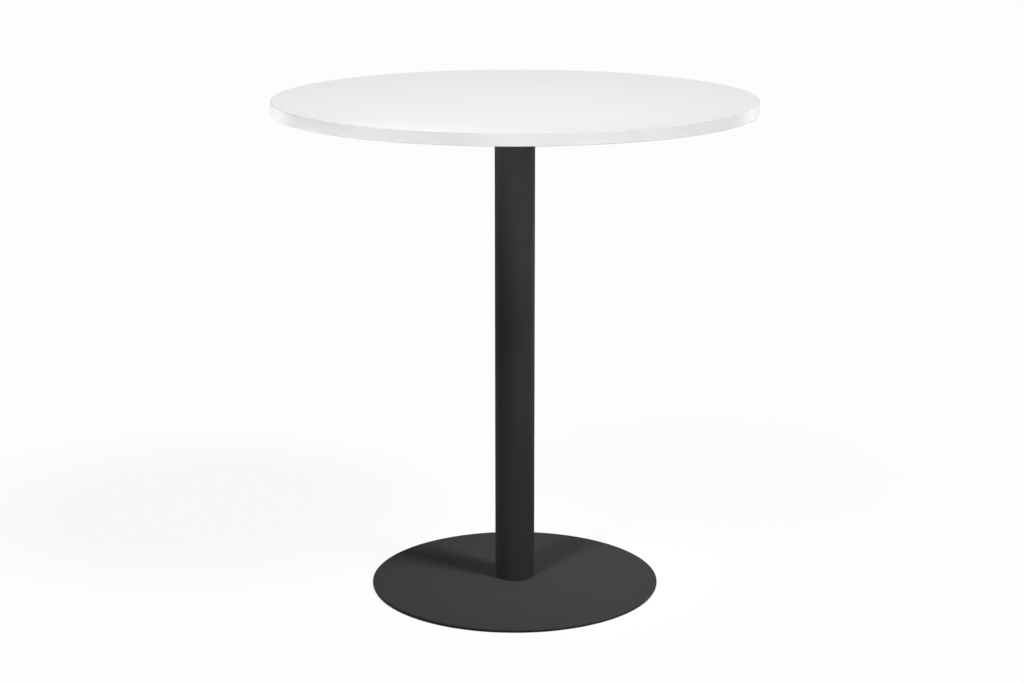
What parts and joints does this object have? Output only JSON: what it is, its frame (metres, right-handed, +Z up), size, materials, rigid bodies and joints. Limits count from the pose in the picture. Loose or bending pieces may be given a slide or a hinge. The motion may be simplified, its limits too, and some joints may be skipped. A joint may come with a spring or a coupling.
{
  "type": "bar table",
  "caption": "Round bar table: white laminated top on a steel spider, a black tube column and a low round weighted foot.",
  "frame": {"origin": "on the floor under the column's axis", "axes": "+Z up along the column; +X and +Y along the spider's arms, the glides lie midway between them"},
  "size_m": [0.9999, 1, 1.05],
  "materials": {
    "particle_board": "cut particle board",
    "white_laminate": "smooth satin laminate",
    "white_backer": "smooth matt backing laminate",
    "white_edge_band": "satin edge band",
    "zinc_alloy": "die-cast zinc",
    "zinc_plated_steel": "bright zinc plating",
    "black_powder_coat": "fine-grain powder coat",
    "black_oxide_steel": "black oxide",
    "column_powder_coat": "fine-grain powder coat",
    "foot_powder_coat": "fine-grain powder coat",
    "cast_iron_primer": "cast surface with dark primer",
    "glide_steel": "bright zinc plating",
    "glide_nylon": "moulded nylon"
  },
  "bodies": {
    "table": {"tabletop_core": "particle_board", "tabletop_upper_facing": "white_laminate", "tabletop_lower_facing": "white_backer", "tabletop_edge_band": "white_edge_band", "tabletop_inserts": "zinc_alloy", "tabletop_screws": "zinc_plated_steel", "tabletop_washers": "zinc_plated_steel", "spider_hub_plate": "black_powder_coat", "spider_arm_1": "black_powder_coat", "spider_arm_2": "black_powder_coat", "spider_arm_3": "black_powder_coat", "spider_arm_4": "black_powder_coat", "spider_bolts": "black_oxide_steel", "spider_spring_washers": "black_oxide_steel", "column_tube": "column_powder_coat", "column_upper_plate": "black_powder_coat", "column_lower_plate": "black_powder_coat", "foot_cover": "foot_powder_coat", "foot_weight": "cast_iron_primer", "foot_screws": "zinc_plated_steel"},
    "glide_1_pad": {"glide_pad_1": "glide_nylon"},
    "glide_1_stud": {"glide_stud_1": "glide_steel"},
    "glide_2_pad": {"glide_pad_2": "glide_nylon"},
    "glide_2_stud": {"glide_stud_2": "glide_steel"},
    "glide_3_pad": {"glide_pad_3": "glide_nylon"},
    "glide_3_stud": {"glide_stud_3": "glide_steel"},
    "glide_4_pad": {"glide_pad_4": "glide_nylon"},
    "glide_4_stud": {"glide_stud_4": "glide_steel"}
  },
  "joints": [
    {"name": "glide_1_travel", "type": "slide", "parent": "table", "child": "glide_1_pad", "axis": [0, 0, -1], "range_m": [0, 0.0025]},
    {"name": "glide_1_turn", "type": "hinge", "parent": "glide_1_pad", "child": "glide_1_stud", "pos_m": [0.18526, 0.18526, 0.001], "axis": [0, 0, 1], "range_deg": [0, 900]},
    {"name": "glide_2_travel", "type": "slide", "parent": "table", "child": "glide_2_pad", "axis": [0, 0, -1], "range_m": [0, 0.0025]},
    {"name": "glide_2_turn", "type": "hinge", "parent": "glide_2_pad", "child": "glide_2_stud", "pos_m": [-0.18526, 0.18526, 0.001], "axis": [0, 0, 1], "range_deg": [0, 900]},
    {"name": "glide_3_travel", "type": "slide", "parent": "table", "child": "glide_3_pad", "axis": [0, 0, -1], "range_m": [0, 0.0025]},
    {"name": "glide_3_turn", "type": "hinge", "parent": "glide_3_pad", "child": "glide_3_stud", "pos_m": [-0.18526, -0.18526, 0.001], "axis": [0, 0, 1], "range_deg": [0, 900]},
    {"name": "glide_4_travel", "type": "slide", "parent": "table", "child": "glide_4_pad", "axis": [0, 0, -1], "range_m": [0, 0.0025]},
    {"name": "glide_4_turn", "type": "hinge", "parent": "glide_4_pad", "child": "glide_4_stud", "pos_m": [0.18526, -0.18526, 0.001], "axis": [0, 0, 1], "range_deg": [0, 900]}
  ],
  "couplings": [
    {"joint": "glide_1_travel", "follows": "glide_1_turn", "m_per_rad": 0.00015915},
    {"joint": "glide_2_travel", "follows": "glide_2_turn", "m_per_rad": 0.00015915},
    {"joint": "glide_3_travel", "follows": "glide_3_turn", "m_per_rad": 0.00015915},
    {"joint": "glide_4_travel", "follows": "glide_4_turn", "m_per_rad": 0.00015915}
  ]
}
